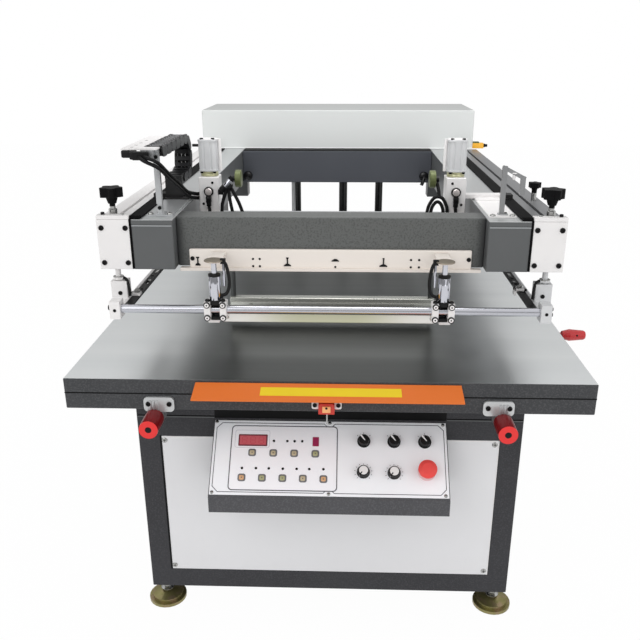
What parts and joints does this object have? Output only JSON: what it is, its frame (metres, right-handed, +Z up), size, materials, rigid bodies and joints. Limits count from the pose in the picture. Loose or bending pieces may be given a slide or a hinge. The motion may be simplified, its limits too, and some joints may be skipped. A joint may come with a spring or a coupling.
{
  "type": "flatbed screen printing machine",
  "caption": "Flatbed screen printing machine: steel cabinet with levelling feet, wide bed, tilting print head with squeegee carriage on side beams, clamp rod, control box and red adjusting knobs.",
  "frame": {"origin": "middle of the floor area under the whole machine, at the underside of the feet", "axes": "+Z up, out of the print bed; -Y to the operator's side; +X to the operator's right"},
  "size_m": [1.168, 1.7155, 1.108],
  "materials": {
    "table_top": "brushed",
    "table_frame": "hammertone grey",
    "cabinet": "dark grey paint",
    "front_panel": "light grey paint",
    "foot_fl": "yellow zinc plate",
    "foot_fr": "yellow zinc plate",
    "foot_bl": "yellow zinc plate",
    "foot_br": "yellow zinc plate",
    "control_box": "dark grey paint",
    "control_face": "satin white",
    "safety_strip": "orange paint",
    "strip_switch": "red",
    "bracket_l": "clear anodised",
    "bracket_r": "clear anodised",
    "column_l": "hammertone grey",
    "column_r": "hammertone grey",
    "rear_posts": "black",
    "side_beam_l": "hammertone grey",
    "side_beam_r": "hammertone grey",
    "end_plate_l": "clear anodised",
    "end_plate_r": "clear anodised",
    "slot_rail_l": "clear anodised",
    "slot_rail_r": "clear anodised",
    "belt_l": "black",
    "belt_r": "black",
    "frame_arm_l": "clear anodised",
    "frame_arm_r": "clear anodised",
    "slot_bar_l": "black",
    "slot_bar_r": "black",
    "front_lift_l": "clear anodised",
    "front_lift_r": "clear anodised",
    "front_beam": "hammertone grey",
    "rear_beam": "hammertone grey",
    "front_plate": "clear anodised",
    "hood": "light grey paint",
    "cross_rod": "polished",
    "front_bar": "clear anodised",
    "carriage_bar": "clear anodised",
    "cylinder_l": "clear anodised",
    "cylinder_r": "clear anodised",
    "air_fittings_l": "black",
    "air_fittings_r": "black",
    "chain_mast": "clear anodised",
    "energy_chain": "black",
    "chain_cables": "black",
    "sensor_bracket": "clear anodised",
    "squeegee": "clear anodised",
    "squeegee_blade": "matt",
    "adjust_knob_l": "red",
    "adjust_knob_r": "red",
    "adjust_knob_side": "red",
    "star_knob_l": "black",
    "star_knob_r": "black",
    "star_knob_rear": "black",
    "stop_button": "red",
    "selector_1": "black",
    "selector_2": "black",
    "selector_3": "black",
    "dial_1": "black",
    "dial_2": "black"
  },
  "bodies": {
    "base": {"table_top": "table_top", "table_frame": "table_frame", "cabinet": "cabinet", "front_panel": "front_panel", "foot_fl": "foot_fl", "foot_fr": "foot_fr", "foot_bl": "foot_bl", "foot_br": "foot_br", "control_box": "control_box", "control_face": "control_face", "safety_strip": "safety_strip", "strip_switch": "strip_switch", "bracket_l": "bracket_l", "bracket_r": "bracket_r", "column_l": "column_l", "column_r": "column_r", "rear_posts": "rear_posts"},
    "head": {"side_beam_l": "side_beam_l", "side_beam_r": "side_beam_r", "end_plate_l": "end_plate_l", "end_plate_r": "end_plate_r", "slot_rail_l": "slot_rail_l", "slot_rail_r": "slot_rail_r", "belt_l": "belt_l", "belt_r": "belt_r", "frame_arm_l": "frame_arm_l", "frame_arm_r": "frame_arm_r", "slot_bar_l": "slot_bar_l", "slot_bar_r": "slot_bar_r", "front_lift_l": "front_lift_l", "front_lift_r": "front_lift_r", "front_beam": "front_beam", "rear_beam": "rear_beam", "front_plate": "front_plate", "hood": "hood", "cross_rod": "cross_rod", "front_bar": "front_bar"},
    "carriage": {"carriage_bar": "carriage_bar", "cylinder_l": "cylinder_l", "cylinder_r": "cylinder_r", "air_fittings_l": "air_fittings_l", "air_fittings_r": "air_fittings_r", "chain_mast": "chain_mast", "energy_chain": "energy_chain", "chain_cables": "chain_cables", "sensor_bracket": "sensor_bracket"},
    "squeegee_unit": {"squeegee": "squeegee", "squeegee_blade": "squeegee_blade"},
    "knob_left": {"adjust_knob_l": "adjust_knob_l"},
    "knob_right": {"adjust_knob_r": "adjust_knob_r"},
    "knob_side": {"adjust_knob_side": "adjust_knob_side"},
    "star_left": {"star_knob_l": "star_knob_l"},
    "star_right": {"star_knob_r": "star_knob_r"},
    "star_rear": {"star_knob_rear": "star_knob_rear"},
    "stop": {"stop_button": "stop_button"},
    "selector_body_1": {"selector_1": "selector_1"},
    "selector_body_2": {"selector_2": "selector_2"},
    "selector_body_3": {"selector_3": "selector_3"},
    "dial_body_1": {"dial_1": "dial_1"},
    "dial_body_2": {"dial_2": "dial_2"}
  },
  "joints": [
    {"name": "head_tilt", "type": "hinge", "parent": "base", "child": "head", "pos_m": [-0.034, 0.65575, 0.812], "axis": [-1, 0, 0], "range_deg": [0, 25]},
    {"name": "carriage_slide", "type": "slide", "parent": "head", "child": "carriage", "axis": [0, 1, 0], "range_m": [-0.03, 0.8]},
    {"name": "squeegee_lift", "type": "slide", "parent": "carriage", "child": "squeegee_unit", "axis": [0, 0, 1], "range_m": [-0.015, 0.045]},
    {"name": "adjust_left", "type": "hinge", "parent": "base", "child": "knob_left", "pos_m": [-0.3965, -0.80075, 0.578], "axis": [0, -1, 0], "continuous": true},
    {"name": "adjust_right", "type": "hinge", "parent": "base", "child": "knob_right", "pos_m": [0.3285, -0.80075, 0.578], "axis": [0, -1, 0], "continuous": true},
    {"name": "adjust_side", "type": "hinge", "parent": "base", "child": "knob_side", "pos_m": [0.516, -0.46425, 0.646], "axis": [1, 0, 0], "continuous": true},
    {"name": "selector_turn_1", "type": "hinge", "parent": "base", "child": "selector_body_1", "pos_m": [0.044, -0.73719, 0.4924], "axis": [0, -0.6768, 0.7362], "range_deg": [-45, 45]},
    {"name": "selector_turn_2", "type": "hinge", "parent": "base", "child": "selector_body_2", "pos_m": [0.11, -0.73719, 0.4924], "axis": [0, -0.6768, 0.7362], "range_deg": [-45, 45]},
    {"name": "selector_turn_3", "type": "hinge", "parent": "base", "child": "selector_body_3", "pos_m": [0.177, -0.73719, 0.4924], "axis": [0, -0.6768, 0.7362], "range_deg": [-45, 45]},
    {"name": "dial_turn_1", "type": "hinge", "parent": "base", "child": "dial_body_1", "pos_m": [0.043, -0.78799, 0.4457], "axis": [0, -0.6768, 0.7362], "range_deg": [-140, 140]},
    {"name": "dial_turn_2", "type": "hinge", "parent": "base", "child": "dial_body_2", "pos_m": [0.109, -0.78872, 0.44502], "axis": [0, -0.6768, 0.7362], "range_deg": [-140, 140]},
    {"name": "stop_press", "type": "slide", "parent": "base", "child": "stop", "axis": [0, 0.6768, -0.7362], "range_m": [0, 0.005]},
    {"name": "star_turn_left", "type": "hinge", "parent": "head", "child": "star_left", "pos_m": [-0.496, -0.62425, 0.966], "axis": [0, 0, 1], "continuous": true},
    {"name": "star_turn_right", "type": "hinge", "parent": "head", "child": "star_right", "pos_m": [0.428, -0.62425, 0.966], "axis": [0, 0, 1], "continuous": true},
    {"name": "star_turn_rear", "type": "hinge", "parent": "head", "child": "star_rear", "pos_m": [0.438, -0.42225, 0.966], "axis": [0, 0, 1], "continuous": true}
  ]
}
